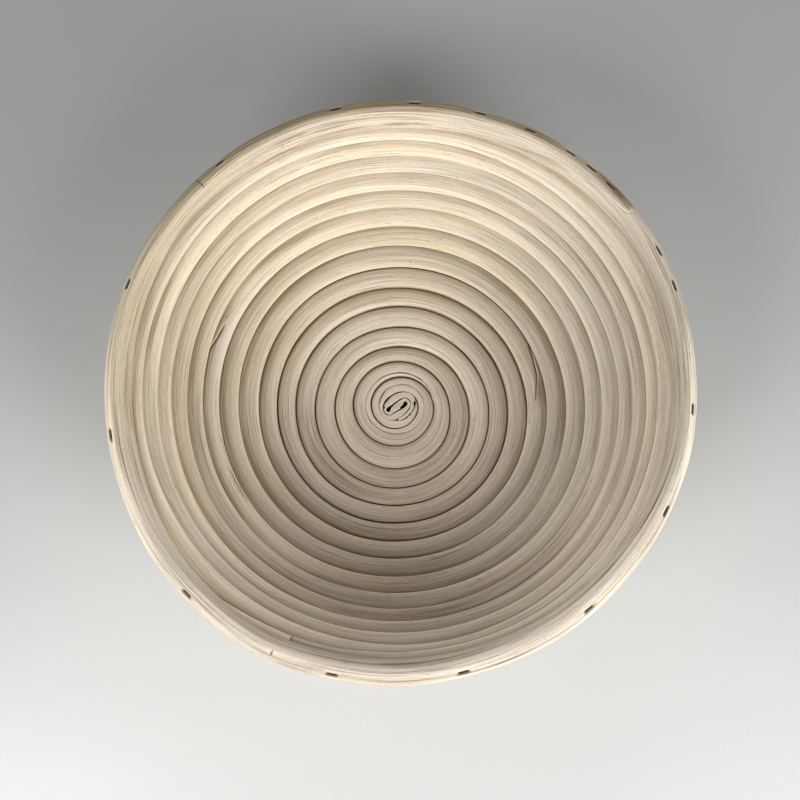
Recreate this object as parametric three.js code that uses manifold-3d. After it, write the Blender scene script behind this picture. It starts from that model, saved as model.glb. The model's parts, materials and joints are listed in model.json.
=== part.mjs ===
// Round proofing basket of coiled rattan cane, millimetres, +Z up.
// The origin is on the basket's axis, in the plane that it stands on.
// A cane is wound in a flat spiral for the floor and then stacked up the wall.
// Each turn is stapled to the turn below it, and a closed rim hoop is stapled on top.
import * as THREE from 'three';
import { mergeVertices } from 'three/addons/utils/BufferGeometryUtils.js';
import Module from 'manifold-3d';

// ---- driving dimensions -------------------------------------------------
const PITCH = 10.24;          // width of one turn of cane along the basket's profile
const EDGE_T = 3.4;           // thickness of the cane at its mating edges
const CROWN = 1.1;            // how far each rounded face stands above those edges
const GAP = 0.3;              // clearance between neighbouring turns
const SEGMENTS = 32;          // facets in one turn
const WALL_TOP = 15.2;        // level of the rim hoop's lower edge, in turns along the profile
const RIM_WIDTH = 1.0;        // width of the rim hoop, in turns
const FIRST_TURN = 1.48;      // where the regular spiral starts, in turns
const FLOOR_CENTRE = [0.77, -3.22]; // the spiral starts slightly off the rim's axis
const CENTRE_FADE = 8;        // turns over which that offset fades out
const LEAN = 0.8;             // how far a wall turn's inner edge stands proud of its middle
const BASE_Z = EDGE_T + CROWN; // height of the floor's groove lines above the table

// slope of the profile in degrees at each whole turn, from the fourth
const SLOPE_FROM = 4;
const SLOPES = [0, 0, 3, 18.5, 30.5, 39, 47.5, 56.3, 64, 69.5, 72.5, 73.7, 74.2, 74.5];

// how the winding steps outwards within one turn: fraction of a turn, extra shift
const STEP = [[0, 0], [0.132, 0.168], [0.248, 0.312], [0.366, 0.434], [0.491, 0.349],
  [0.62, 0.26], [0.7514, 0.014], [0.882, -0.127]];

// grooves of the first turns, before the winding is regular: turn, radius
const START_GROOVE = [[-1.5, 9.84], [-1.37, 8.1], [-1.25, 7.82], [-1.09, 8.4], [-1, 8.7],
  [-0.867, 9.4], [-0.75, 11.6], [-0.625, 14.6], [-0.5, 16.3], [-0.382, 16.2], [-0.25, 15.75],
  [-0.133, 15.9], [0, 17.0], [0.125, 18.4], [0.25, 21.1], [0.38, 23.9], [0.5, 25.5],
  [0.611, 25.2], [0.75, 23.8], [0.867, 23.5]];

// outer edge of the folded core strip: turn, radius
const STRIP_EDGE = [[-2.06, 7.75], [-2.0, 7.0], [-1.969, 6.75], [-1.894, 6.55], [-1.838, 6.7], [-1.7625, 7.45],
  [-1.719, 8.3], [-1.694, 8.3], [-1.636, 9.6], [-1.604, 10.45], [-1.567, 11.25], [-1.53, 11.65], [-1.5, 11.9], [-1.25, 11.55], [-1, 11.6], [-0.75, 14.4], [-0.5, 18.9], [-0.417, 18.6], [-0.25, 17.5], [-0.125, 17.0], [-0.06, 16.9]];

// folded core strip, from its inner end: x, y about the floor centre, half width
const CORE = [
  [-1.31, -7.33, 0.20], [-1.14, -6.83, 0.40], [1.04, -5.56, 0.70], [2.61, -4.39, 0.85], [4.05, -2.81, 0.85], [5.62, 0.80, 0.95],
  [5.73, 3.75, 1.30], [3.88, 5.66, 1.35], [1.54, 6.33, 1.30], [-1.31, 5.76, 1.55], [-4.32, 4.05, 1.70], [-6.43, 2.08, 1.50],
  [-8.34, 0.30, 1.05], [-8.91, -1.47, 0.75], [-8.10, -3.30, 0.50], [-6.66, -3.78, 0.65], [-4.92, -1.98, 1.25], [-2.08, 0.54, 1.65],
  [0.20, 2.41, 1.45], [1.47, 3.88, 0.70], [3.28, 2.81, 0.60], [3.65, 0.90, 0.80], [2.38, -0.80, 1.00], [0.20, -2.81, 1.40],
  [-2.88, -4.79, 1.65], [-5.79, -5.99, 1.15], [-8.17, -5.50, 0.84], [-10.25, -3.21, 0.62], [-10.91, -0.74, 0.75], [-10.45, 2.21, 0.95],
  [-8.67, 5.32, 1.30],
];

// top edge of the last full turn, which narrows so that the rim sits level: fraction, level in turns
const LAST_GROOVE = [[0, 14.48], [0.125, 14.62], [0.25, 14.7], [0.3092, 14.86], [0.3525, 15.05], [0.3775, WALL_TOP]];
const CANE_END = 13.3092;     // the spiral ends here and a short wedge fills what is left
const WEDGE_END = 13.352;

// long splices between the lengths of cane: from turn, to turn
const SPLICES = [[4.9306, 4.989], [7.5417, 7.597], [11.411, 11.461]];
const TIP = 0.7;              // width of a splice's tip

// staples: flat wire, crown and two legs
const STAPLE_CROWN = 4.4;
const WIRE_W = 1.0;
const WIRE_T = 0.7;
const LEG = 13.0;
const POCKET = 0.25;          // clearance around a staple
const RIM_STAPLES = [17.7, 25.4, 42.1, 47.3, 52.6, 62.1, 72.9, 86.8, 103.4, 130.1, 161.7, 192.4, 226.9, 257.8, 282.1, 308.2, 332, 352.7];
const HIDDEN_FROM = 3;        // first groove that holds hidden staples
const HIDDEN_TO = 12;
const HIDDEN_PER_TURN = 3;

// ---- profile of the groove lines ----------------------------------------
const STEPS = 1800;
const DS = 18 / STEPS;
const profR = [0];
const profZ = [BASE_Z];
function slopeAt(u) {
  const x = u - SLOPE_FROM;
  if (x <= 0) return 0;
  const i = Math.min(Math.floor(x), SLOPES.length - 2);
  const f = Math.min(x - i, 1);
  return THREE.MathUtils.degToRad(SLOPES[i] * (1 - f) + SLOPES[i + 1] * f);
}
for (let i = 0; i < STEPS; i++) {
  const a = slopeAt((i + 0.5) * DS);
  profR.push(profR[i] + Math.cos(a) * DS * PITCH);
  profZ.push(profZ[i] + Math.sin(a) * DS * PITCH);
}
function onProfile(u) {
  const x = u / DS;
  const i = Math.min(Math.max(Math.floor(x), 0), STEPS - 1);
  const f = x - i;
  return [profR[i] * (1 - f) + profR[i + 1] * f, profZ[i] * (1 - f) + profZ[i + 1] * f, slopeAt(u)];
}

// piecewise-linear table
function table(rows, x) {
  if (x <= rows[0][0]) return rows[0][1];
  for (let i = 1; i < rows.length; i++) {
    if (x <= rows[i][0]) {
      const f = (x - rows[i - 1][0]) / (rows[i][0] - rows[i - 1][0]);
      return rows[i - 1][1] * (1 - f) + rows[i][1] * f;
    }
  }
  return rows[rows.length - 1][1];
}
const STEP_CLOSED = [...STEP, [1, 0]];
const START_CLOSED = [...START_GROOVE, [1, (FIRST_TURN + 1) * PITCH]];

// groove level, in turns along the profile, at winding t (whole turns at azimuth 0)
function grooveExact(t) {
  if (t < 1) return table(START_CLOSED, t) / PITCH;
  const k = Math.floor(t + 1e-9);
  const f = t - k;
  if (k >= 14) return WALL_TOP;
  if (k === 13) return table([...LAST_GROOVE, [1, WALL_TOP]], f);
  return FIRST_TURN + k + f + table(STEP_CLOSED, f);
}
// the same, straight between the facets' corners
function groove(t) {
  const x = t * SEGMENTS;
  const i = Math.floor(x + 1e-7);
  const f = x - i;
  if (Math.abs(f) < 1e-6) return grooveExact(i / SEGMENTS);
  return grooveExact(i / SEGMENTS) * (1 - f) + grooveExact((i + 1) / SEGMENTS) * f;
}
const stripEdge = (t) => table(STRIP_EDGE, t) / PITCH;

// ---- from winding and profile to a point ---------------------------------
function cornerPoint(i, u, off) {
  const th = -2 * Math.PI * i / SEGMENTS;
  const [r, z, a] = onProfile(u);
  const R = r - Math.sin(a) * off;
  const w = Math.max(0, 1 - u / CENTRE_FADE);
  return new THREE.Vector3(R * Math.cos(th) + FLOOR_CENTRE[0] * w, R * Math.sin(th) + FLOOR_CENTRE[1] * w, z + Math.cos(a) * off);
}
function point(t, u, off) {
  const x = t * SEGMENTS;
  const i = Math.floor(x + 1e-7);
  const f = x - i;
  if (Math.abs(f) < 1e-6) return cornerPoint(i, u, off);
  return cornerPoint(i, u, off).lerp(cornerPoint(i + 1, u, off), f);
}

// ---- a length of cane, swept along the winding ----------------------------
// wall turns step back like shingles: their inner edge stands proud and their outer edge is sunk
const leanAt = (u) => (u > WALL_TOP + 0.2 ? 0 : LEAN * THREE.MathUtils.smoothstep(u, 5.5, 8));
function caneGeometry(from, to, lower, upper, extra = [], band = [lower, upper]) {
  const ts = new Set([from, to, ...extra]);
  for (let i = Math.ceil(from * SEGMENTS - 1e-7); i <= to * SEGMENTS + 1e-7; i++) ts.add(i / SEGMENTS);
  const stations = [...ts].sort((a, b) => a - b).filter((t, i, all) => t >= from - 1e-9 && t <= to + 1e-9 && (i === 0 || t - all[i - 1] > 1e-4));
  const half = GAP / 2 / PITCH;
  const pos = [];
  for (const t of stations) {
    const lo = lower(t) + half;
    const hi = upper(t) - half;
    const w = hi - lo;
    const c = CROWN * Math.min(1, w * PITCH / 4);
    const b0 = band[0](t);
    const b1 = band[1](t);
    const proud = (s) => leanAt((b0 + b1) / 2) * (1 - 2 * (s - b0) / (b1 - b0));
    const ring = [
      point(t, lo, -EDGE_T), point(t, lo, proud(lo)),
      point(t, lo + w * 0.3, c + proud(lo + w * 0.3)), point(t, hi - w * 0.3, c + proud(hi - w * 0.3)),
      point(t, hi, proud(hi)), point(t, hi, -EDGE_T),
      point(t, hi - w * 0.3, -EDGE_T - c), point(t, lo + w * 0.3, -EDGE_T - c),
    ];
    pos.push(...ring);
  }
  const index = [];
  const n = stations.length;
  for (let i = 0; i + 1 < n; i++) {
    for (let j = 0; j < 8; j++) {
      const a = i * 8 + j;
      const b = i * 8 + (j + 1) % 8;
      index.push(a, a + 8, b, b, a + 8, b + 8);
    }
  }
  for (let j = 1; j < 7; j++) {
    index.push(0, j, j + 1);
    const e = (n - 1) * 8;
    index.push(e, e + j + 1, e + j);
  }
  const g = new THREE.BufferGeometry();
  g.setAttribute('position', new THREE.Float32BufferAttribute(pos.flatMap((p) => [p.x, p.y, p.z]), 3));
  g.setIndex(index);
  return g;
}

// splice boundary inside a turn
const scarf = (s, t) => {
  const x = Math.min(Math.max((t - s[0]) / (s[1] - s[0]), 0), 1);
  return groove(t + 1) * (1 - x) + groove(t) * x;
};
const tipFraction = (TIP + GAP) / PITCH;
const spliceEnd = (s) => s[0] + (s[1] - s[0]) * (1 - tipFraction);
const spliceStart = (s) => s[0] + (s[1] - s[0]) * tipFraction;

// ---- folded core strip -----------------------------------------------------
function coreGeometry() {
  const line = CORE.map(([x, y, h]) => [new THREE.Vector2(x, y), h]);
  const add = (p, h) => line.push([p, h]);
  const polar = (deg, r) => new THREE.Vector2(r * Math.cos(THREE.MathUtils.degToRad(deg)), r * Math.sin(THREE.MathUtils.degToRad(deg)));
  for (let i = Math.round(-1.36 * SEGMENTS); i <= -0.09 * SEGMENTS; i++) {
    const t = i / SEGMENTS;
    const ri = groove(t) * PITCH + GAP / 2 + (t < -1.2 ? 0.12 : 0);
    const ro = stripEdge(t) * PITCH - GAP / 2;
    add(polar(-360 * t, (ri + ro) / 2), Math.max((ro - ri) / 2, 0.3));
  }
  const left = [];
  const right = [];
  line.forEach(([p, h], i) => {
    const a = line[Math.max(i - 1, 0)][0];
    const b = line[Math.min(i + 1, line.length - 1)][0];
    const d = b.clone().sub(a).normalize();
    left.push(new THREE.Vector2(p.x - d.y * h, p.y + d.x * h));
    right.push(new THREE.Vector2(p.x + d.y * h, p.y - d.x * h));
  });
  const shifted = [...left, ...right.reverse()].map((p) => {
    const w = Math.max(0, 1 - p.length() / PITCH / CENTRE_FADE);
    return new THREE.Vector2(p.x + FLOOR_CENTRE[0] * w, p.y + FLOOR_CENTRE[1] * w);
  });
  const shape = new THREE.Shape(shifted);
  const g = new THREE.ExtrudeGeometry(shape, { depth: EDGE_T + 0.9, bevelEnabled: false });
  g.translate(0, 0, BASE_Z - EDGE_T - 0.1);
  return g;
}

// ---- staples ----------------------------------------------------------------
// a flat-wire staple: crown on the upper edge of a turn, legs down into the turn below
function stapleGeometry(grow, rise) {
  const w = STAPLE_CROWN / 2 + grow;
  const wi = STAPLE_CROWN / 2 - WIRE_W - grow;
  const top = grow + rise;
  const s = new THREE.Shape([
    new THREE.Vector2(-w, top), new THREE.Vector2(-w, -LEG - grow), new THREE.Vector2(-wi, -LEG - grow), new THREE.Vector2(-wi, -WIRE_W - grow),
    new THREE.Vector2(wi, -WIRE_W - grow), new THREE.Vector2(wi, -LEG - grow), new THREE.Vector2(w, -LEG - grow), new THREE.Vector2(w, top)]);
  const depth = WIRE_T + 2 * grow;
  const g = new THREE.ExtrudeGeometry(s, { depth, bevelEnabled: false });
  g.translate(0, 0, -depth / 2);
  return g;
}
// place it at winding t, level u and depth off under the groove line
function stapleFrame(t, u, off) {
  const p = point(t, u, off);
  const q = point(t, u - 0.02, off);
  const up = p.clone().sub(q).normalize();
  const i = Math.floor(t * SEGMENTS + 1e-7);
  const along = cornerPoint(i + 1, u, off).sub(cornerPoint(i, u, off)).normalize();
  along.addScaledVector(up, -along.dot(up)).normalize();
  const out = new THREE.Vector3().crossVectors(along, up);
  const m = new THREE.Matrix4().makeBasis(along, up, out);
  m.setPosition(p);
  return m;
}
const staples = [];
RIM_STAPLES.forEach((deg, i) => {
  const t = 14 + (360 - deg) / 360;
  const inset = 0.35 / PITCH;
  staples.push({ name: `rim_staple_${String(i + 1).padStart(2, '0')}`, frame: stapleFrame(t, WALL_TOP + RIM_WIDTH - GAP / 2 / PITCH - inset, -2.4), rim: true });
});
let hidden = 0;
for (let k = HIDDEN_FROM; k <= HIDDEN_TO; k++) {
  for (let j = 0; j < HIDDEN_PER_TURN; j++) {
    const f = (0.06 + j / HIDDEN_PER_TURN + (k - HIDDEN_FROM) * 0.105) % 1;
    const mid = (Math.floor(f * SEGMENTS) + 0.5) / SEGMENTS;
    const t = k + mid;
    hidden++;
    staples.push({ name: `coil_staple_${String(hidden).padStart(2, '0')}`, frame: stapleFrame(t, groove(t) - (GAP / 2 + 0.35) / PITCH, -1.75), rim: false });
  }
}

// ---- booleans ------------------------------------------------------------------
const wasm = await Module();
wasm.setup();
function solid(geometry) {
  let g = geometry.clone();
  g.deleteAttribute('normal');
  g.deleteAttribute('uv');
  g = mergeVertices(g, 1e-4);
  return new wasm.Manifold(new wasm.Mesh({ numProp: 3, vertProperties: new Float32Array(g.attributes.position.array), triVerts: new Uint32Array(g.index.array) }));
}
function geometryOf(body) {
  const m = body.getMesh();
  const g = new THREE.BufferGeometry();
  g.setAttribute('position', new THREE.BufferAttribute(Float32Array.from(m.vertProperties), 3));
  g.setIndex(new THREE.BufferAttribute(Uint32Array.from(m.triVerts), 1));
  return g;
}

// ---- assembly --------------------------------------------------------------------
const basket = new THREE.Group();
basket.name = 'proofing_basket';
const cane = (hex) => new THREE.MeshStandardMaterial({ color: hex, roughness: 0.75, metalness: 0 });
const wire = new THREE.MeshStandardMaterial({ color: 0x4a443d, roughness: 0.5, metalness: 0.8 });
function place(name, geometry, material) {
  const mesh = new THREE.Mesh(geometry, material);
  mesh.name = name;
  basket.add(mesh);
}

const pockets = staples.map((s) => {
  const g = stapleGeometry(POCKET, s.rim ? 1.5 : 1.0);
  g.applyMatrix4(s.frame);
  return solid(g);
});
const allPockets = pockets.reduce((a, b) => a.add(b));

const firstLower = (t) => (t < -0.06 ? stripEdge(t) : groove(t));
const next = (t) => groove(t + 1);
const [s1, s2, s3] = SPLICES;
const lengths = [
  ['cane_length_1', caneGeometry(-2.06, spliceEnd(s1), firstLower, (t) => scarf(s1, t), [s1[0], -0.06], [firstLower, next]), 0xdcc9a4],
  ['cane_length_2', caneGeometry(spliceStart(s1), spliceEnd(s2), (t) => (t < s1[1] ? scarf(s1, t) : groove(t)), (t) => scarf(s2, t), [s1[1], s2[0]], [groove, next]), 0xe2d0ae],
  ['cane_length_3', caneGeometry(spliceStart(s2), spliceEnd(s3), (t) => (t < s2[1] ? scarf(s2, t) : groove(t)), (t) => scarf(s3, t), [s2[1], s3[0]], [groove, next]), 0xd8c49c],
  ['cane_length_4', caneGeometry(spliceStart(s3), CANE_END - 0.0004, (t) => (t < s3[1] ? scarf(s3, t) : groove(t)), (t) => (t < 13 ? next(t) : WALL_TOP), [s3[1]], [groove, next]), 0xe6d6b6],
];
place('core_strip', coreGeometry(), cane(0xcdb78d));
for (const [name, geometry, hex] of lengths) {
  place(name, geometryOf(solid(geometry).subtract(allPockets)), cane(hex));
}
place('end_wedge', caneGeometry(CANE_END + 0.0004, WEDGE_END, groove, () => WALL_TOP), cane(0xd2bd94));

// rim hoop: one turn of cane whose ends overlap in a long splice
const RIM_FROM = 14 + (360 - 60.5) / 360;
const RIM_TO = 15 + (360 - 36) / 360;
const rimSplice = (t) => {
  // level of the joint line for azimuths between 70 and 36 degrees
  const deg = 360 - (t - Math.floor(t)) * 360;
  return WALL_TOP + RIM_WIDTH * table([[36, 0.6], [38, 0.55], [42, 0.43], [45.5, 0.31], [50, 0.22], [55, 0.13], [60.5, 0.07], [70, 0]], deg);
};
const RIM_FULL = 14 + (360 - 33.5) / 360;
const RIM_SHOULDER = 14 + (360 - 35) / 360;
const rimUpper = (t) => {
  if (t <= RIM_SHOULDER) return Math.max(rimSplice(t), WALL_TOP + (TIP + GAP) / PITCH);
  if (t < RIM_FULL) return WALL_TOP + RIM_WIDTH * (0.64 + 0.36 * (t - RIM_SHOULDER) / (RIM_FULL - RIM_SHOULDER));
  return WALL_TOP + RIM_WIDTH;
};
const rimLower = (t) => {
  const from = 15 + (360 - 70) / 360;
  if (t <= from) return WALL_TOP;
  return Math.max(rimSplice(t), t > 15 + (360 - 64) / 360 ? WALL_TOP + (TIP + GAP) / PITCH : WALL_TOP);
};
const rimGeometry = caneGeometry(RIM_FROM, RIM_TO, rimLower, rimUpper,
  [RIM_SHOULDER, RIM_FULL, 15 + (360 - 70) / 360, 15 + (360 - 64) / 360, 15 + (360 - 63.9) / 360, 15 + (360 - 55) / 360, 14 + (360 - 55) / 360, 15 + (360 - 42) / 360, 14 + (360 - 42) / 360]);
place('rim_hoop', geometryOf(solid(rimGeometry).subtract(allPockets)), cane(0xead9b8));

staples.forEach((s) => {
  const g = stapleGeometry(0, 0);
  g.applyMatrix4(s.frame);
  place(s.name, g, wire);
});

export default basket;
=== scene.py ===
import json
import math
import bpy
import numpy as np
from mathutils import Matrix, Vector

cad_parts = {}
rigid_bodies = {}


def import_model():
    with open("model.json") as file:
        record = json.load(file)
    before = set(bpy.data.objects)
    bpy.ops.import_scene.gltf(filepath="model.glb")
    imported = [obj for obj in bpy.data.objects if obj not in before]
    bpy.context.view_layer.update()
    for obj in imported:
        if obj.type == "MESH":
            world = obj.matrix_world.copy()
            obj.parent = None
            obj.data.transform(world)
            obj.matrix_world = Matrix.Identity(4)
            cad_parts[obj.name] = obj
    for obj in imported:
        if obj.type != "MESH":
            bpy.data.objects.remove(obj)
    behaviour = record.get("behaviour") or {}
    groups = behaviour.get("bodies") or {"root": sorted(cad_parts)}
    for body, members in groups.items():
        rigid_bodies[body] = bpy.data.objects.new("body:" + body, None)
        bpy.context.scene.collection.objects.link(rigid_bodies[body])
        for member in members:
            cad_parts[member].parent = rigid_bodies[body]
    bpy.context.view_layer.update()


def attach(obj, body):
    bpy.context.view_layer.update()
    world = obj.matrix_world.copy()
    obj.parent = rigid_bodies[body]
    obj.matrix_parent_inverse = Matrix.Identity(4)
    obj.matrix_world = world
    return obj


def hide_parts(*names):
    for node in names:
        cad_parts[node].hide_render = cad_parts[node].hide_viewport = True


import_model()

# ---------------------------------------------------------------- dimensions (mm)
PITCH = 10.24
BASE_Z = 4.5
MID = -1.7            # middle of the cane's thickness under the groove line
HALF_T = 2.78         # half of the cane's thickness
WALL_TOP = 15.2
RIM_W = .955
FIRST_TURN = 1.48
FLOOR_CENTRE = (0.77, -3.22)
CENTRE_FADE = 8.0
GAP = 0.03            # half of the gap between two turns
SLOPE_FROM = 4
SLOPES = [0, 0, 3, 18.5, 30.5, 39, 47.5, 56.3, 64, 69.5, 72.5, 73.7, 74.2, 74.5]
# winding in turns, level of the groove in turns along the profile
GROOVE = [
    (1.02, 2.520), (1.135, 2.946), (1.246, 3.273), (1.361, 3.457), (1.485, 3.425), (1.617, 3.230), (1.754, 3.075), (1.888, 3.177),
    (2.014, 3.483), (2.133, 3.927), (2.247, 4.235), (2.364, 4.434), (2.489, 4.425), (2.619, 4.232), (2.753, 4.075), (2.884, 4.177),
    (3.011, 4.468), (3.131, 4.881), (3.248, 5.189), (3.366, 5.416), (3.491, 5.400), (3.621, 5.267), (3.752, 5.122), (3.882, 5.174),
    (4.009, 5.469), (4.131, 5.829), (4.248, 6.105), (4.367, 6.296), (4.492, 6.308), (4.621, 6.270), (4.752, 6.129), (4.881, 6.146),
    (5.008, 6.437), (5.13, 6.784), (5.248, 7.035), (5.367, 7.256), (5.492, 7.264), (5.621, 7.258), (5.752, 7.126), (5.881, 7.142),
    (6.008, 7.429), (6.131, 7.757), (6.248, 8.028), (6.367, 8.266), (6.491, 8.318), (6.621, 8.349), (6.751, 8.199), (6.881, 8.225),
    (7.009, 8.483), (7.131, 8.789), (7.248, 9.047), (7.366, 9.279), (7.49, 9.362), (7.62, 9.389), (7.751, 9.251), (7.882, 9.273),
    (8.01, 9.525), (8.132, 9.842), (8.248, 10.007), (8.365, 10.282), (8.489, 10.292), (8.619, 10.410), (8.751, 10.278), (8.883, 10.275),
    (9.001, 10.465), (9.125, 10.824), (9.249, 11.083), (9.375, 11.272), (9.498, 11.254), (9.625, 11.363), (9.751, 11.265), (9.875, 11.298),
    (10, 11.551), (10.125, 11.836), (10.25, 12.021), (10.375, 12.263), (10.5, 12.297), (10.625, 12.427), (10.75, 12.349), (10.875, 12.296),
    (11.01, 12.463), (11.125, 12.753), (11.25, 12.942), (11.375, 13.175), (11.49, 13.202), (11.625, 13.379), (11.75, 13.349), (11.875, 13.277),
    (12.01, 13.426), (12.125, 13.704), (12.25, 13.881), (12.375, 14.143), (12.49, 14.197), (12.625, 14.334), (12.75, 14.263), (12.875, 14.136),
    (13.009, 14.23), (13.125, 14.38), (13.245, 14.48), (13.264, 14.57), (13.284, 14.74), (13.3106, 14.93), (13.328, 15.04), (13.345, 15.20), (13.362, 15.42), (13.38, 15.60)]
# level of the rim hoop's lower edge by azimuth
RIM_LEVEL = [(0, 15.19), (27, 15.34), (52, 15.20), (77, 15.0), (103, 15.0), (120, 15.05), (146, 15.25), (165, 15.08), (184, 14.98), (196, 14.97), (211, 15.12), (228, 15.40),
             (248, 15.36), (262, 15.20), (275, 15.10), (286, 15.04), (307, 15.12), (326, 15.25), (346, 15.20), (360, 15.19)]
# level of the hoop's top, less its usual width
RIM_CREST = [(0, 15.19), (27, 15.34), (52, 15.17), (77, 15.22), (103, 15.22), (146, 15.29), (184, 15.17), (209, 15.08), (228, 15.30),
             (248, 15.26), (262, 15.08), (275, 14.98), (284, 14.97), (307, 15.22), (326, 15.27), (346, 15.20), (360, 15.19)]
# how far a turn's face lies behind the profile line, by level (mm)
SETBACK = [(0, 0), (3.5, 0), (5.5, .2), (8, .4), (18, .4)]
# how far a groove lies above its measured level, by level (turns)
LIFT = [(0, 0), (1, .02), (3.5, .035), (5.5, .06), (8, .085), (11, .09), (18, .09)]
# how far a turn's inner edge stands proud of its middle, by level (mm)
LEAN = [(0, .12), (3, .18), (4.5, .30), (6, .62), (7, 1.0), (8, 1.28), (9.5, 1.50), (11, 1.60), (13, 1.55), (14.5, 1.35), (15.2, 1.2), (18, 1.2)]
START_GROOVE = [(-1.5, 9.84), (-1.37, 8.1), (-1.25, 7.82), (-1.09, 8.4), (-1, 8.7), (-.867, 9.4), (-.75, 11.6), (-.625, 14.6),
                (-.5, 16.3), (-.382, 16.2), (-.25, 15.75), (-.133, 15.9), (0, 17.0), (.125, 18.4), (.25, 21.1), (.38, 23.9),
                (.5, 25.5), (.611, 25.2), (.75, 23.8), (.867, 23.5)]
STRIP_EDGE = [(-2.066, 7.75), (-2.03, 7.25), (-2.0, 6.85), (-1.969, 6.5), (-1.894, 6.1), (-1.838, 6.3), (-1.7625, 7.05), (-1.719, 7.8),
              (-1.694, 8.05), (-1.636, 9.42), (-1.604, 10.3), (-1.567, 11.1), (-1.53, 11.6), (-1.5, 11.85), (-1.25, 11.55), (-1, 11.6), (-.75, 14.4),
              (-.5, 18.9), (-.417, 18.6), (-.25, 17.5), (-.125, 17.0), (-.06, 16.9)]
CANE_END = 13.3106
WEDGE_END = 13.3605
SPLICES = [(4.930, 5.04), (7.527, 7.636), (11.4033, 11.4545)]
RIM_STAPLES = [17.7, 25.4, 42.1, 47.3, 52.6, 62.1, 72.9, 86.8, 103.4, 130.1, 161.7, 192.4, 226.9, 257.8, 282.1, 308.2, 332, 352.7]
RIM_JOINT = [(34.9, 1.0), (35.0, .985), (35.15, .97), (35.35, .955), (35.6, .94), (36, .92), (37.4, .88), (41.8, .78), (45.2, .66), (50, .45), (55, .25), (61, .08), (68, 0)]


# ---------------------------------------------------------------- small maths
def smooth_table(rows, x):
    """Cubic through the rows of a table."""
    xs = np.array([r[0] for r in rows], float)
    ys = np.array([r[1] for r in rows], float)
    h = np.diff(xs)
    d = np.diff(ys) / h
    m = np.empty_like(ys)
    m[0], m[-1] = d[0], d[-1]
    m[1:-1] = (d[:-1] * h[1:] + d[1:] * h[:-1]) / (h[1:] + h[:-1])
    x = np.asarray(x, float)
    i = np.clip(np.searchsorted(xs, x, side="right") - 1, 0, len(xs) - 2)
    s = np.clip((x - xs[i]) / h[i], 0, 1)
    s2, s3 = s * s, s * s * s
    return ((2 * s3 - 3 * s2 + 1) * ys[i] + (s3 - 2 * s2 + s) * h[i] * m[i]
            + (3 * s2 - 2 * s3) * ys[i + 1] + (s3 - s2) * h[i] * m[i + 1])


def line_table(rows, x):
    return np.interp(x, [r[0] for r in rows], [r[1] for r in rows])


def smoothstep(a, b, x):
    s = np.clip((x - a) / (b - a), 0, 1)
    return s * s * (3 - 2 * s)


def wave_noise(x, seed):
    """Smooth value noise, about -1 to 1, one lattice step per unit."""
    lattice = np.random.default_rng(seed).uniform(-1, 1, 4096)
    x = np.asarray(x, float)
    i = np.floor(x).astype(int)
    f = x - i
    f = f * f * (3 - 2 * f)
    return lattice[i % 4096] * (1 - f) + lattice[(i + 1) % 4096] * f


# ---------------------------------------------------------------- profile and winding
_n = 1800
_u = np.linspace(0, 18, _n + 1)
_mid = (_u[:-1] + _u[1:]) / 2


def slope_at(u):
    return np.radians(np.interp(u, SLOPE_FROM + np.arange(len(SLOPES)), SLOPES))


_a = slope_at(_mid)
PROF_R = np.concatenate([[0], np.cumsum(np.cos(_a)) * 18 / _n * PITCH])
PROF_Z = BASE_Z + np.concatenate([[0], np.cumsum(np.sin(_a)) * 18 / _n * PITCH])

_groove_rows = [(x, y / PITCH) for x, y in START_GROOVE] + GROOVE


def rim_level(t):
    return smooth_table(RIM_LEVEL, (-360 * np.asarray(t, float)) % 360)


def rim_crest(t):
    return smooth_table(RIM_CREST, (-360 * np.asarray(t, float)) % 360) + RIM_W


def groove(t):
    """Level of the groove line in turns along the profile, at winding t."""
    t = np.asarray(t, float)
    wob = (0.010 * np.sin(8.6 * t + 1.1) + 0.008 * np.sin(17.03 * t + .3) + 0.006 * np.sin(33.3 * t + 2.0))
    wound = smooth_table(_groove_rows, t) + wob * smoothstep(1, 2, t) * (1 - smoothstep(12.6, 13, t))
    wound = wound + line_table(LIFT, wound) * smoothstep(1, 2, t) * (1 - smoothstep(13.30, 13.36, t))
    return np.where(t < 13, wound, np.where(t < 13.375, np.minimum(wound, rim_level(t)), rim_level(t)))


def lean(u):
    return smooth_table(LEAN, u)


def strip_edge(t):
    return smooth_table(STRIP_EDGE, t) / PITCH


# the rim is not quite round: azimuth, shift outwards
OUT_OF_ROUND = [(0, .15), (20, 0), (36, 1.1), (50, 2.1), (60, 1.85), (72, .65), (90, .45), (103, .75), (120, .65), (150, -.15), (170, .3), (184, .25), (196, .95), (212, 1.85),
                (228, 1.05), (243, 2.2), (252, 1.85), (262, 2.1), (272, 2.45), (285, 1.7), (300, .35), (315, -.6), (336, -.1), (345, .55), (353, .4), (360, .15)]


def pos(t, u, off):
    """Point at winding t, level u and depth off, in millimetres."""
    t, u, off = np.broadcast_arrays(np.asarray(t, float), np.asarray(u, float), np.asarray(off, float))
    th = -2 * np.pi * t
    a = slope_at(u)
    r = np.interp(u, _u, PROF_R) - np.sin(a) * off
    z = np.interp(u, _u, PROF_Z) + np.cos(a) * off
    deg = np.degrees(th) % 360
    r = r + smooth_table(OUT_OF_ROUND, deg) * smoothstep(70, 80, z)
    w = np.maximum(0, 1 - u / CENTRE_FADE)
    return np.stack([r * np.cos(th) + FLOOR_CENTRE[0] * w, r * np.sin(th) + FLOOR_CENTRE[1] * w, z], -1)


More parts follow.
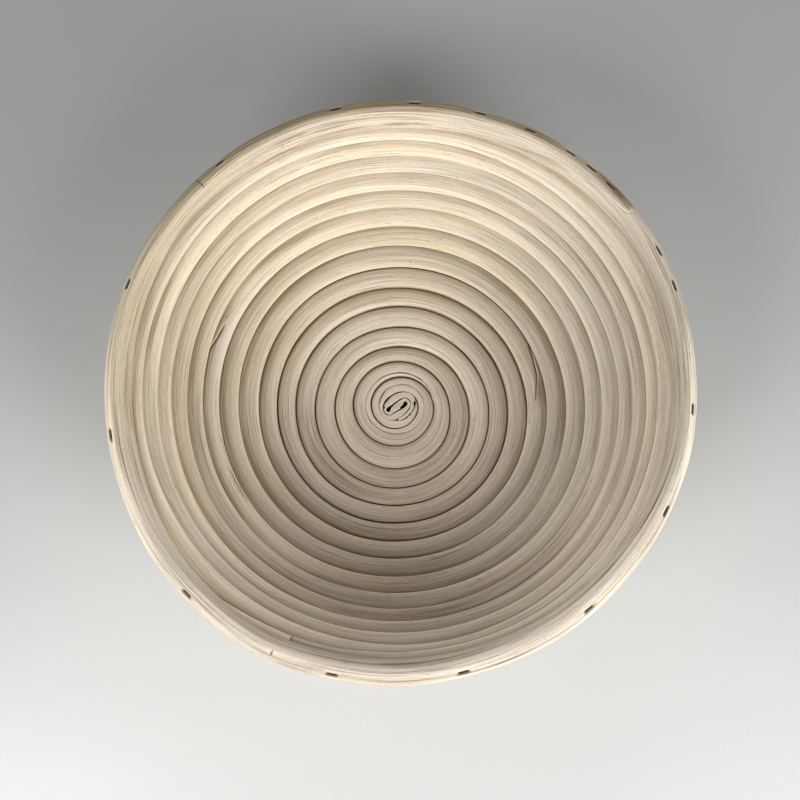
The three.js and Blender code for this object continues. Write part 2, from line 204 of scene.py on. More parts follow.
def stations(t0, t1, spacing, level, fine=()):
    """Winding values from t0 to t1, about spacing apart, closer inside the fine spans (from, to, spacing)."""
    ts = [t0]
    while ts[-1] < t1:
        t = ts[-1]
        gap = spacing
        for a, b, s in fine:
            if a <= t <= b:
                gap = min(gap, s)
        r = max(float(np.interp(level(t), _u, PROF_R)), 5.0)
        ts.append(t + gap / (2 * math.pi * r))
    ts = np.array(ts)
    return t0 + (ts - t0) * (t1 - t0) / (ts[-1] - t0)


# ---------------------------------------------------------------- meshes
materials = {}


def make_object(name, verts, faces, loops_uv, masks, material, flat_faces=0, tones=None):
    """A mesh object in metres; loops_uv is a dict of UV layers in loop order."""
    v = np.asarray(verts, float).reshape(-1, 3)
    tri_v = 0.0
    for f in faces[:: max(1, len(faces) // 4000)]:
        a, b, c = v[f[0]], v[f[1]], v[f[2]]
        tri_v += float(np.dot(a, np.cross(b, c)))
    me = bpy.data.meshes.new(name)
    me.from_pydata((v * 0.001).tolist(), [], faces)
    for layer, uv in loops_uv.items():
        lay = me.uv_layers.new(name=layer)
        lay.data.foreach_set("uv", np.asarray(uv, np.float32).ravel())
    col = me.color_attributes.new("mask", "FLOAT_COLOR", "POINT")
    rgba = np.ones((len(v), 4), np.float32)
    rgba[:, :3] = np.asarray(masks, np.float32).reshape(-1, 3)
    col.data.foreach_set("color", rgba.ravel())
    col = me.color_attributes.new("tone", "FLOAT_COLOR", "POINT")
    rgba = np.ones((len(v), 4), np.float32)
    rgba[:, :3] = 0 if tones is None else np.asarray(tones, np.float32).reshape(-1, 3)
    col.data.foreach_set("color", rgba.ravel())
    smooth = np.ones(len(faces), bool)
    if flat_faces:
        smooth[-flat_faces:] = False
    me.polygons.foreach_set("use_smooth", smooth)
    me.materials.append(material)
    me.update()
    ob = bpy.data.objects.new(name, me)
    bpy.context.scene.collection.objects.link(ob)
    return ob


run_lengths = {}


def sweep(name, rings, masks, material, grain_from=0.0, tones=None, across=None):
    """Closed skin over rings (stations, points, 3), with caps, grain UVs and a stacked bake layout.
    across holds each point's place over the full section: inner face, its places, outer face, its places."""
    n, m = rings.shape[:2]
    centre = rings.mean(1)
    length = np.concatenate([[0], np.cumsum(np.linalg.norm(np.diff(centre, axis=0), axis=1))])
    edge = np.linalg.norm(np.roll(rings, -1, axis=1) - rings, axis=2)
    around = np.concatenate([[0], np.cumsum(np.percentile(edge, 60, axis=0))])
    run_lengths[name] = length
    fibre = np.tile(around, (n, 1))
    if across is not None:
        x_face, a_face, x_back, b_back = across
        k_face, k_back = x_face.shape[1], x_back.shape[1]
        fibre[:, :k_face] = np.interp(x_face, a_face, around[:k_face])
        fibre[:, m - k_back:m] = np.interp(-x_back, b_back, around[m - k_back:m])
    # which way round the ring runs
    k = n // 2
    d = rings[min(k + 1, n - 1)].mean(0) - rings[max(k - 1, 0)].mean(0)
    c = rings[k].mean(0)
    spin = np.zeros(3)
    for j in range(m):
        spin += np.cross(rings[k, j] - c, rings[k, (j + 1) % m] - c)
    forward = float(np.dot(spin, d)) > 0
    i, j = np.meshgrid(np.arange(n - 1), np.arange(m), indexing="ij")
    j2 = (j + 1) % m
    if forward:
        quad = np.stack([i * m + j, i * m + j2, (i + 1) * m + j2, (i + 1) * m + j], -1)
        di, dj = np.array([0, 0, 1, 1]), np.array([0, 1, 1, 0])
    else:
        quad = np.stack([i * m + j, (i + 1) * m + j, (i + 1) * m + j2, i * m + j2], -1)
        di, dj = np.array([0, 1, 1, 0]), np.array([0, 0, 1, 1])
    ii = i.reshape(-1, 1) + di
    jj = j.reshape(-1, 1) + dj
    lu = length[ii]
    lv = around[jj]
    grain = np.stack([lu * .001 + grain_from, fibre[ii, jj] * .001], -1).reshape(-1, 2)
    tall = around[-1] * 1.06 + 0.2
    rows = max(1, int(round(math.sqrt(length[-1] / tall))))
    width = length[-1] / rows
    starts = np.searchsorted(length, np.arange(rows) * width - 1e-9)
    row = np.clip(np.searchsorted(starts, i.reshape(-1), side="right") - 1, 0, rows - 1)
    begin = length[starts[row]][:, None]
    most = max(float(length[min(starts[r + 1] if r + 1 < rows else n - 1, n - 1)] - length[starts[r]]) for r in range(rows))
    high = (rows + 1) * tall
    side = max(most, high) * 1.01
    bake = np.stack([(lu - begin) / side + .004, (lv + row[:, None] * tall) / side + .004], -1).reshape(-1, 2)
    faces = quad.reshape(-1, 4).tolist()
    first = list(range(m))
    last = [(n - 1) * m + q for q in range(m)]
    if forward:
        first = first[::-1]
    else:
        last = last[::-1]
    cap_uv, cap_bake = [], []
    for which, idx in ((0, first), (1, last)):
        p = rings.reshape(-1, 3)[idx]
        q = p - p.mean(0)
        _, _, axes = np.linalg.svd(q, full_matrices=False)
        flat = q @ axes[:2].T
        cap_uv.append(flat * .001 + grain_from)
        flat = flat - flat.min(0)
        cap_bake.append((flat + [which * tall * 1.5, rows * tall]) / side + .004)
    faces += [first, last]
    grain = np.concatenate([grain] + cap_uv)
    bake = np.concatenate([bake] + cap_bake)
    return make_object(name, rings.reshape(-1, 3), faces, {"grain": grain, "OFBake": bake}, masks, material, 2, tones)


# ---------------------------------------------------------------- cane sections
K_IN, K_OUT = 17, 9


def superellipse(x, n, lim):
    return (1 - (lim * np.abs(x)) ** n) ** (1 / n)


def cane(name, ts, band_lo, band_hi, lo_x, hi_x, seed, material, grain_from, lo_dirt_and_shade=None, extra=None):
    """A length of cane: the part lo_x..hi_x of the band between two grooves, at each winding ts."""
    n = len(ts)
    half = (band_hi - band_lo) / 2 - GAP / PITCH
    mid = (band_hi + band_lo) / 2
    a = -np.cos(np.pi * np.arange(K_IN) / (K_IN - 1))
    b = -np.cos(np.pi * np.arange(K_OUT) / (K_OUT - 1))
    xm, xh = (lo_x + hi_x) / 2, np.maximum((hi_x - lo_x) / 2, 0.012)
    x_in = xm[:, None] + xh[:, None] * a
    x_out = xm[:, None] - xh[:, None] * b
    length = np.concatenate([[0], np.cumsum(np.linalg.norm(np.diff(pos(ts, mid, MID), axis=0), axis=1))])
    wall = smoothstep(4.2, 8, mid)
    calm = 1 - smoothstep(11.33, 11.395, ts) * smoothstep(11.53, 11.465, ts)
    n_lo = 2.12 + 2.7 * wall + .12 * calm * wave_noise(length / 70, seed + 1)
    n_hi = 2.12 + .12 * calm * wave_noise(length / 70, seed + 8)
    if lo_dirt_and_shade is not None:
        n_lo = n_lo + 5.0 * (lo_dirt_and_shade < .9)
    lim = (.95 + .03 * wall)[:, None]
    y_in = np.where(x_in < 0, superellipse(x_in, n_lo[:, None], lim), superellipse(x_in, n_hi[:, None], lim))
    y_out = superellipse(x_out, 2.5, .93)
    full = half * 2 * PITCH
    width = full * xh
    thick = HALF_T * (1 + .022 * calm * wave_noise(length / 38, seed + 2)) * (0.70 + .30 * np.clip(full / 8, 0, 1)) * (1 - .12 * calm * (1 - np.clip(width / 4, 0, 1)))
    roll = .14 * wave_noise(length / 55, seed + 3) + .06 * wave_noise(length / 17, seed + 4)
    tilt = lean(mid) * np.clip(full / 9, .2, 1) + roll * calm * .8
    back = smooth_table(SETBACK, mid)[:, None]
    in_off = MID - back + y_in * thick[:, None] - tilt[:, None] * x_in
    out_off = MID - .5 * back - y_out * thick[:, None]
    x = np.concatenate([x_in, x_out], 1)
    y = np.concatenate([y_in, -y_out], 1)
    off = np.concatenate([in_off, out_off], 1)
    # a splice: the inner cane's edge is notched and painted dark as shade, the outer cane's feathered edge is pale
    dark_cut, pale_cut = splice_marks(ts)
    cut = np.exp(-((hi_x[:, None] - x) * half[:, None] * PITCH / .50) ** 2) * ((hi_x < .985) * dark_cut)[:, None]
    off[:, :K_IN] -= .35 * np.clip(cut[:, :K_IN], 0, 1.2)
    # fibres stand up as fine ridges along the face
    for j in range(1, K_IN - 1):
        off[:, j] += (.034 * wave_noise(length / 26 + 311.7 * j, seed + 5) + .018 * wave_noise(length / 6.5 + 173.3 * j, seed + 6)) * xh
    u = mid[:, None] + x * half[:, None]
    if extra is not None:
        u, off = extra(ts, length, x, y, u, off)
    rings = pos(ts[:, None], u, off)
    # masks: groove dirt with painted shade in the grooves, raw wood, stain
    to_lo = (1 + x) * half[:, None] * PITCH
    to_hi = (1 - x) * half[:, None] * PITCH
    broad = (1 + .90 * np.sqrt(.5 + .5 * np.cos(-2 * np.pi * ts - math.radians(95))))[:, None]
    low = np.exp(-(to_lo / .175 / broad) ** 2) * (1 - .75 * wall)[:, None]
    if lo_dirt_and_shade is not None:
        low = low * lo_dirt_and_shade[:, None]
    line = (1 - .45 * smoothstep(9, 14, mid)) * (1 - .6 * smoothstep(12.95, 13.05, ts) * smoothstep(13.2, 13.12, ts))
    dirt_and_shade = low + np.exp(-(to_hi / .225 / broad) ** 2) * line[:, None]
    dirt_and_shade *= 1 + .30 * wave_noise(length / 19, seed + 7)[:, None]
    dirt_and_shade[:, 4] += .55 * smoothstep(7.398, 7.410, ts) * smoothstep(7.438, 7.428, ts)
    dirt_and_shade = dirt_and_shade + cut * (1 + .4 * wave_noise(length / 5, seed + 11)[:, None])
    raw = np.exp(-((x - lo_x[:, None]) * half[:, None] * PITCH / .72) ** 2) * ((lo_x > -.97) * pale_cut)[:, None]
    dirt_and_shade = dirt_and_shade + np.exp(-((ts - CANE_END) / .00045) ** 2)[:, None] * (.75 + .45 * x)
    dirt_and_shade = np.clip(dirt_and_shade, 0, 1.2)
    # black painted shade in the pits and gaps near the middle
    if lo_dirt_and_shade is not None:
        w = np.maximum(0, 1 - u / CENTRE_FADE)
        pits = pit_shade(rings[..., 0] - FLOOR_CENTRE[0] * w, rings[..., 1] - FLOOR_CENTRE[1] * w)
        dirt_and_shade = np.maximum(dirt_and_shade, pits * (ts < -.9)[:, None])
    wedge = smoothstep(1, .85, lo_x) * smoothstep(-.35, .1, lo_x) * (ts < 9)
    masks = np.stack([dirt_and_shade, raw, .36 * wedge[:, None] * x_side(x)], -1)
    # tones: grime and painted shade towards the outer edge, hue, brightness with edge wear and painted light and shade
    az = -2 * np.pi * ts
    # painted shade: how dark the outer part of a wall turn is, by azimuth
    grime_shade_by_side = 1 + (.22 * np.cos(2 * (az - math.radians(5))) + .20 * np.cos(az - math.radians(190))) * wall
    grime_shade_by_side = grime_shade_by_side * (1 - .75 * smoothstep(12.85, 13.05, ts))
    deep = to_hi * (10.2 / np.maximum(full, 4))[:, None]
    grime_and_shade = (.36 * np.exp(-deep / .8) + .62 * np.exp(-(deep / 4.3) ** 3)) * ((.24 + .82 * wall) * grime_shade_by_side)[:, None]
    grime_and_shade = grime_and_shade * (1 + .35 * wave_noise(length / 33, seed + 9)[:, None]) * (x_side(x))
    grime_and_shade = grime_and_shade + .15 * wedge[:, None] * x_side(x)
    # paler proud lower edge on the wall: scraped wear and a painted highlight
    wear_and_painted_light = .085 * np.exp(-(to_lo / 3.0) ** 2) * wall[:, None]
    # painted shadow of the near wall on the near part of the floor
    wear_and_painted_light = wear_and_painted_light - (.055 * np.exp(-((mid - 2.5) / 1.2) ** 2) * (.5 + .5 * np.cos(az - math.radians(305))))[:, None]
    # painted light and shade in patches by level and azimuth
    wear_and_painted_light = wear_and_painted_light + (.045 * np.exp(-((mid - 6) / 1.6) ** 2) * (.5 + .5 * np.cos(az - math.radians(115)))
                   + .045 * np.exp(-((mid - 9.5) / 1.8) ** 2) * np.exp(3 * np.cos(az - math.radians(213)) - 3))[:, None]
    for level, broad_l, side_deg, k in ((11.3, 1.8, 135, .028), (11.3, 1.8, 182, -.030), (10.8, 1.8, 228, .030), (8.5, 1.1, 90, -.025)):
        wear_and_painted_light = wear_and_painted_light + (k * np.exp(-((mid - level) / broad_l) ** 2) * np.exp(8 * np.cos(az - math.radians(side_deg)) - 8))[:, None]
    tones = np.stack([grime_and_shade, np.repeat(hue_bias(ts, mid)[:, None], x.shape[1], 1), wear_and_painted_light + (.065 * calm * wave_noise(length / 120, seed + 10))[:, None]], -1)
    return sweep(name, rings, masks, material, grain_from, tones, (x_in, a, x_out, b))


def x_side(x):
    """1 on the inner face's points, less on the outer face."""
    w = np.full(x.shape[1], .35)
    w[:K_IN] = 1
    return w[None, :]


def hue_bias(t, u):
    """Creamier towards the far left, greyer and pinker towards the near right."""
    az = np.radians((-360 * np.asarray(t, float)) % 360)
    return -.135 * np.cos(az - math.radians(140)) * smoothstep(3, 10, u)


# how far a splice has crossed the turn from its outer edge, along its length
SCARFS = [[(0, 0), (.08, .07), (.156, .125), (.265, .195), (.375, .25), (.48, .385), (.596, .495), (1, 1)],
          [(0, 0), (.02, .02), (.063, .10), (.1135, .17), (.207, .31), (.256, .35), (.299, .38), (.402, .50), (.472, .56), (.65, .68), (1, 1)],
          [(0, 0), (1, 1)]]


def scarf_x(s, t):
    q = np.clip((t - s[0]) / (s[1] - s[0]), 0, 1)
    return 1 - 2 * smooth_table(SCARFS[SPLICES.index(s)], q)


def splice_marks(t):
    """Strength of the dark cut (a notch with painted shade) and of the pale feathered edge at winding t."""
    dark, pale = np.zeros_like(t), np.zeros_like(t)
    for (a, b), d, e, p_, f in zip(SPLICES, (1.7, 2.2, 0), (.66, .33, .5), (1.35, 1.4, 0), (.46, .44, .5)):
        q = (t - a) / (b - a)
        dark += d * smoothstep(.005, .05, q) * smoothstep(e, e - .08, q)
        pale += p_ * smoothstep(.02, .10, q) * smoothstep(f + .1, f - .15, q)
    return dark, pale


def level_of(t):
    return float(groove(t + .5))


# ---------------------------------------------------------------- materials
# painted shade: black pits and gaps in and around the folds: middle, half length, half width, direction
PITS = [(-7.05, -1.85, 1.15, 1.0, 50), (-5.5, -.05, 1.7, .34, 48), (1.65, 1.5, 1.15, 1.0, 40), (.1, .25, 1.4, .34, 37), (-9.35, -.7, .5, .42, 60),
        (6.73, 1.42, 1.25, .60, 96), (5.95, -2.28, .6, .48, 75), (4.14, -4.4, .75, .46, 52), (2.6, -6.0, .85, .46, 45), (-.5, -7.8, .9, .40, 25)]


def pit_shade(fx, fy):
    """Painted shade of the pits at flat positions near the middle of the floor."""
    out = np.zeros_like(fx)
    for hx, hy, ha, hb, turn in PITS:
        c_, s_ = math.cos(math.radians(turn)), math.sin(math.radians(turn))
        ex, ey = fx - hx, fy - hy
        out += 1.7 * np.exp(-(((ex * c_ + ey * s_) / ha) ** 2 + ((ey * c_ - ex * s_) / hb) ** 2) ** 3)
    return out


class Tree:
    def __init__(self, name):
        self.mat = bpy.data.materials.new(name)
        self.mat.use_nodes = True
        self.nt = self.mat.node_tree
        self.bsdf = self.nt.nodes["Principled BSDF"]

    def put(self, value, socket):
        if hasattr(value, "is_output"):
            self.nt.links.new(value, socket)
        elif isinstance(value, (tuple, list)) and len(value) == 3 and socket.type == "RGBA":
            socket.default_value = (*value, 1)
        else:
            socket.default_value = value

    def node(self, kind, inputs=None, **props):
        nd = self.nt.nodes.new(kind)
        for k, v in props.items():
            setattr(nd, k, v)
        for k, v in (inputs or {}).items():
            self.put(v, nd.inputs[k])
        return nd

    def uv(self, layer):
        return self.node("ShaderNodeUVMap", uv_map=layer).outputs["UV"]

    def stretch(self, vec, scale, loc=(0, 0, 0)):
        return self.node("ShaderNodeMapping", {"Vector": vec, "Scale": scale, "Location": loc}).outputs["Vector"]

    def noise(self, vec, scale, detail=2.0, rough=.5, distort=0.0):
        nd = self.node("ShaderNodeTexNoise", {"Vector": vec, "Scale": scale, "Detail": detail, "Roughness": rough, "Distortion": distort})
        return nd.outputs["Fac"]

    def math(self, op, a, b=0.0, clamp=False):
        nd = self.node("ShaderNodeMath", operation=op, use_clamp=clamp)
        self.put(a, nd.inputs[0])
        self.put(b, nd.inputs[1])
        return nd.outputs[0]

    def span(self, x, a, b, lo=0.0, hi=1.0):
        nd = self.node("ShaderNodeMapRange", {"Value": x, "From Min": a, "From Max": b, "To Min": lo, "To Max": hi}, interpolation_type="SMOOTHSTEP")
        return nd.outputs["Result"]

    def ramp(self, fac, stops):
        nd = self.node("ShaderNodeValToRGB", {"Fac": fac})
        el = nd.color_ramp.elements
        while len(el) < len(stops):
            el.new(.5)
        for e, (p, c) in zip(el, stops):
            e.position = p
            e.color = (*c, 1)
        return nd.outputs["Color"]

    def mix(self, fac, a, b, blend="MIX"):
        nd = self.node("ShaderNodeMix", data_type="RGBA", blend_type=blend)
        self.put(fac, nd.inputs[0])
        self.put(a, nd.inputs[6])
        self.put(b, nd.inputs[7])
        return nd.outputs[2]


def cane_material(name):
    t = Tree(name)
    g = t.uv("grain")
    mask = t.node("ShaderNodeAttribute", attribute_name="mask").outputs["Color"]
    parts = t.node("ShaderNodeSeparateColor", {"Color": mask})
    tone = t.node("ShaderNodeAttribute", attribute_name="tone").outputs["Color"]
    tones = t.node("ShaderNodeSeparateColor", {"Color": tone})
    fine = t.noise(t.stretch(g, (34, 2300, 1)), 1.0, 3.0, .65)
    medium = t.noise(t.stretch(g, (13, 1050, 1), (3.1, 7.7, 0)), 1.0, 3.0, .6)
    broad = t.noise(t.stretch(g, (9, 290, 1), (1.7, 2.9, 0)), 1.0, 2.0, .5)
    slow = t.noise(t.stretch(g, (6, 60, 1), (5.3, .9, 0)), 1.0, 2.0, .5)
    mottle = t.noise(t.stretch(g, (780, 1250, 1), (3.7, 1.9, 0)), 1.0, 2.0, .6)
    value = t.math("ADD", t.math("ADD", t.math("MULTIPLY", fine, .30), t.math("MULTIPLY", medium, .31)),
                   t.math("ADD", t.math("MULTIPLY", broad, .17), t.math("MULTIPLY", slow, .12)))
    # the mesh's brightness tone carries edge wear and painted light and shade
    lit = t.math("ADD", t.math("ADD", value, t.math("MULTIPLY", mottle, .10)), tones.outputs["Blue"])
    # hue wanders between tan, cream, pinkish grey and greenish grey from fibre to fibre
    hue = t.math("ADD", t.math("MULTIPLY", t.noise(t.stretch(g, (8, 420, 1), (9.1, 4.3, 0)), 1.0, 2.0, .5), .75),
                 t.math("MULTIPLY", t.noise(t.stretch(g, (4.5, 55, 1), (2.2, 8.8, 0)), 1.0, 2.0, .5), .85))
    hue = t.math("ADD", t.math("SUBTRACT", hue, .30), tones.outputs["Green"])
    base = t.ramp(hue, [(.30, (.692, .590, .440)), (.43, (.692, .602, .480)), (.53, (.692, .596, .493)), (.60, (.662, .590, .488)), (.70, (.624, .586, .474)), (.92, (.640, .572, .478))])
    shade = t.ramp(lit, [(.37, (.50, .465, .415)), (.452, (.855, .835, .81)), (.53, (1.06, 1.06, 1.055)), (.64, (1.36, 1.36, 1.36))])
    base = t.mix(1.0, base, shade, "MULTIPLY")
    # grime and painted shade where a turn runs under the next one
    rub = t.noise(t.stretch(g, (20, 520, 1), (2.8, 6.1, 0)), 1.0, 3.0, .6)
    grime_and_shade = t.math("MULTIPLY", tones.outputs["Red"], t.span(rub, .30, .66, .45, 1.15), True)
    base = t.mix(grime_and_shade, base, (.345, .268, .150))
    # open pores: short dark dashes
    pore = t.noise(t.stretch(g, (170, 3400, 1), (4.4, 1.2, 0)), 1.0, 2.0, .55)
    patch = t.noise(t.stretch(g, (22, 240, 1), (7.4, 5.1, 0)), 1.0, 2.0, .5)
    pores = t.math("MULTIPLY", t.span(pore, .60, .69), t.span(patch, .40, .62, .2, 1.0))
    base = t.mix(t.math("MULTIPLY", pores, .68), base, (.27, .19, .115))
    # dark fibres a few centimetres long
    thread = t.noise(t.stretch(g, (22, 1700, 1), (6.6, 3.3, 0)), 1.0, 1.5, .5)
    threads = t.math("MULTIPLY", t.span(thread, .62, .70), t.span(patch, .42, .60, .15, 1.0))
    base = t.mix(t.math("MULTIPLY", threads, .68), base, (.27, .18, .10))
    # pale fibres, scraped clean
    pale = t.noise(t.stretch(g, (30, 1500, 1), (1.3, 9.3, 0)), 1.0, 1.5, .5)
    base = t.mix(t.span(pale, .62, .72, 0, .45), base, (.83, .76, .66))
    # lone dark specks
    cell = t.node("ShaderNodeTexVoronoi", {"Vector": t.stretch(g, (34, 62, 1)), "Scale": 1.0, "Randomness": 1.0})
    pick = t.node("ShaderNodeSeparateColor", {"Color": cell.outputs["Color"]})
    speck = t.math("MULTIPLY", t.span(cell.outputs["Distance"], .026, .012), t.span(pick.outputs["Red"], .62, .64))
    base = t.mix(t.math("MULTIPLY", speck, .85), base, (.075, .045, .028))
    # masks carried by the mesh
    raw = t.math("MULTIPLY", parts.outputs["Green"], .8, True)
    base = t.mix(raw, base, (.98, .90, .78))
    rag = t.noise(t.stretch(g, (55, 700, 1), (8.2, 5.5, 0)), 1.0, 3.0, .6)
    dirt_and_shade = t.math("MULTIPLY", parts.outputs["Red"], t.span(rag, .25, .7, .6, 1.05), True)
    # dirt and painted shade in the grooves, cuts, slots and cracks: brown, then darker brown
    base = t.mix(t.math("MULTIPLY", t.math("MULTIPLY", dirt_and_shade, 1.6, True), .72), base, (.33, .205, .080))
    base = t.mix(t.math("MULTIPLY", dirt_and_shade, .95), base, (.075, .037, .008))
    # near black where the mask runs past 1.25: painted shade in the pits, holes and plugs
    base = t.mix(t.span(parts.outputs["Red"], 1.25, 1.5), base, (.010, .007, .005))
    stain = t.math("MULTIPLY", parts.outputs["Blue"], t.span(rag, .3, .62, .25, 1.0), True)
    base = t.mix(stain, base, (.21, .100, .045))
    t.put(base, t.bsdf.inputs["Base Color"])
    t.put(t.math("ADD", t.span(value, .27, .58, .80, .62), t.math("MULTIPLY", dirt_and_shade, .3), True), t.bsdf.inputs["Roughness"])
    t.bsdf.inputs["Specular IOR Level"].default_value = .08
    height = t.math("SUBTRACT", t.math("ADD", t.math("MULTIPLY", fine, .7), t.math("MULTIPLY", medium, .7)), t.math("MULTIPLY", t.math("ADD", pores, threads), .5))
    bump = t.node("ShaderNodeBump", {"Height": height, "Strength": .6, "Distance": .0002})
    t.put(bump.outputs["Normal"], t.bsdf.inputs["Normal"])
    return t.mat


def wire_material():
    t = Tree("staple_wire")
    ob = t.node("ShaderNodeTexCoord").outputs["Object"]
    rust = t.noise(ob, 700, 4.0, .6)
    fine = t.noise(ob, 4200, 2.0, .5)
    base = t.ramp(t.math("ADD", t.math("MULTIPLY", rust, .8), t.math("MULTIPLY", fine, .2)), [(.38, (.028, .022, .018)), (.52, (.055, .037, .026)), (.66, (.11, .055, .026))])
    t.put(base, t.bsdf.inputs["Base Color"])
    t.put(t.span(rust, .4, .6, .75, .15), t.bsdf.inputs["Metallic"])
    t.put(t.span(rust, .35, .65, .42, .82), t.bsdf.inputs["Roughness"])
    bump = t.node("ShaderNodeBump", {"Height": fine, "Strength": .4, "Distance": .00008})
    t.put(bump.outputs["Normal"], t.bsdf.inputs["Normal"])
    return t.mat


PALE = cane_material("cane_pale")
wire = wire_material()


def keep(ob, slot, *nodes):
    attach(ob, "root")
    if nodes:
        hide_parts(*nodes)
    return ob


# ---------------------------------------------------------------- lengths of cane
s1, s2, s3 = SPLICES


def build_length(name, t0, t1, start_splice, end_splice, seed, grain_from):
    fine = [(s[0] - .004, s[1] + .004, .9) for s in (start_splice, end_splice) if s]
    fine.append((CANE_END - .004, CANE_END, .3))
    ts = stations(t0, t1, 2.1, level_of, fine)
    lo = groove(ts)
    if name == "cane_length_1":
        k = smoothstep(-.10, -.02, ts)
        lo = np.where(ts < -.02, strip_edge(np.minimum(ts, -.06)) * (1 - k) + groove(np.maximum(ts, -.1)) * k, lo)
    hi = groove(ts + 1)
    lo_x = scarf_x(start_splice, ts) if start_splice else np.full(len(ts), -1.0)
    hi_x = scarf_x(end_splice, ts) if end_splice else np.full(len(ts), 1.0)
    lo_dirt_and_shade = None
    if name == "cane_length_1":
        torn = smoothstep(-.40, -.33, ts) * smoothstep(-.05, -.09, ts)
        rag = smoothstep(-.3, .3, wave_noise(ts * 43, 47))
        lo_dirt_and_shade = np.where(ts < -.03, .12 + .40 * smoothstep(-.2, .4, wave_noise(ts * 31, 47)) + torn * (.3 + .8 * rag), 1.0)
    keep(cane(name, ts, lo, hi, lo_x, hi_x, seed, PALE, grain_from, lo_dirt_and_shade), "cane", name)
    return ts, run_lengths[name]


build_length("cane_length_1", -2.06, s1[1] - .0012, None, s1, 100, 37.0)
build_length("cane_length_2", s1[0] + .0012, s2[1] - .0008, s1, s2, 200, 74.0)
ts_3, run_3 = build_length("cane_length_3", s2[0] + .0008, s3[1] - .0006, s2, s3, 300, 111.0)
build_length("cane_length_4", s3[0] + .0006, CANE_END - .0003, s3, None, 400, 111.0 + .001 * float(np.interp(s3[0] + .0006, ts_3, run_3)))

# wedge after the butt end
ts = stations(CANE_END + .0005, WEDGE_END, .9, level_of, [(CANE_END, CANE_END + .003, .3)])
keep(cane("end_wedge", ts, groove(ts), rim_level(ts), np.full(len(ts), -1.0), np.full(len(ts), 1.0), 500, PALE, 61.0), "cane", "end_wedge")

# ---------------------------------------------------------------- folded core strip
C0 = 784.0
CORE_PATH = [(732, 1001, .45), (752, 986, .75), (815, 950, .85), (862, 915, .95), (905, 868, .95), (952, 760, 1.05), (955, 672, 1.4),
             (900, 615, 1.45), (830, 595, 1.4), (745, 612, 1.65), (655, 663, 1.8), (592, 722, 1.6), (535, 775, 1.15), (520, 828, .82), (543, 881, .62),
             (585, 897, .75), (637, 843, 1.35), (722, 768, 1.75), (790, 712, 1.55), (828, 668, .8), (882, 700, .7), (893, 757, .9),
             (855, 808, 1.1), (790, 868, 1.5), (698, 927, 1.75), (611, 963, 1.25), (540, 949, .95), (476, 880, .70), (458, 806, .85),
             (472, 718, 1.05), (525, 625, 1.4)]
core = [((x - C0) * .03348, (C0 - y) * .03348, h) for x, y, h in CORE_PATH]
for tau in np.arange(-1.36, -.045, .03):
    ri = float(groove(tau)) * PITCH + GAP
    ro = float(strip_edge(tau)) * PITCH - GAP
    th = -2 * math.pi * tau
    core.append(((ri + ro) / 2 * math.cos(th), (ri + ro) / 2 * math.sin(th), max((ro - ri) / 2, .2)))
core = np.array(core)
along = np.concatenate([[0], np.cumsum(np.linalg.norm(np.diff(core[:, :2], axis=0), axis=1))])
fine_s = np.arange(0, along[-1], .32)
px = smooth_table(list(zip(along, core[:, 0])), fine_s)
py = smooth_table(list(zip(along, core[:, 1])), fine_s)
ph = smooth_table(list(zip(along, core[:, 2])), fine_s)
d = np.gradient(np.stack([px, py], -1), axis=0)
d /= np.linalg.norm(d, axis=1)[:, None]
side = np.stack([-d[:, 1], d[:, 0]], -1)
a = -np.cos(np.pi * np.arange(K_IN) / (K_IN - 1))
b = -np.cos(np.pi * np.arange(K_OUT) / (K_OUT - 1))
x = np.concatenate([np.tile(a, (len(fine_s), 1)), np.tile(-b, (len(fine_s), 1))], 1)
y = np.concatenate([superellipse(x[:, :K_IN], 6.0, .98), -superellipse(x[:, K_IN:], 3.0, .95)], 1)
thick = 2.1 * (1 + .03 * wave_noise(fine_s / 6, 41)) * (.85 + .15 * np.clip(ph / .8, 0, 1))
off = -1.4 + y * thick[:, None]
for j in range(1, K_IN - 1):
    off[:, j] += .045 * wave_noise(fine_s / 7 + 91.7 * j, 42) + .02 * wave_noise(fine_s / 2 + 37.1 * j, 43)
flat = np.stack([px, py], -1)[:, None, :] + side[:, None, :] * (x * (ph + .07)[:, None])[:, :, None]
w = np.maximum(0, 1 - np.linalg.norm(flat, axis=2) / PITCH / CENTRE_FADE)
rings = np.stack([flat[..., 0] + FLOOR_CENTRE[0] * w, flat[..., 1] + FLOOR_CENTRE[1] * w, BASE_Z + off], -1)
to_edge = (1 - np.abs(x)) * ph[:, None]
wound = smoothstep(along[len(CORE_PATH) - 2], along[len(CORE_PATH) + 2], fine_s)
dash = smoothstep(-.25, .35, wave_noise(fine_s / 1.6, 45) + .5 * wave_noise(fine_s / 5, 46))
begin = smoothstep(along[1], along[3], fine_s)
top_arc = smoothstep(along[5], along[6], fine_s) * smoothstep(along[13], along[12], fine_s)
right_side = smoothstep(along[6], along[5], fine_s)
torn = smoothstep(along[len(CORE_PATH) + 30], along[len(CORE_PATH) + 35], fine_s)
rag = smoothstep(-.3, .3, wave_noise(fine_s / 2.4, 48))
lo_line = .75 * (1 - wound) * (.35 + .65 * dash) * (1 - .8 * right_side) * begin + 1.0 * wound
lo_line = np.maximum(lo_line, 1.1 * top_arc)
lo_w = .12 + .09 * np.maximum(top_arc, wound)
hi_w = .09 + .11 * torn
hi_line = .75 * (1 - wound) * (.35 + .65 * dash) * begin + .45 * wound * (.25 + .75 * dash) + torn * (.45 + .7 * rag)
to_lo, to_hi = (1 + x) * ph[:, None], (1 - x) * ph[:, None]
dirt_and_shade = lo_line[:, None] * np.exp(-(to_lo / lo_w[:, None]) ** 2) + hi_line[:, None] * np.exp(-(to_hi / hi_w[:, None]) ** 2)
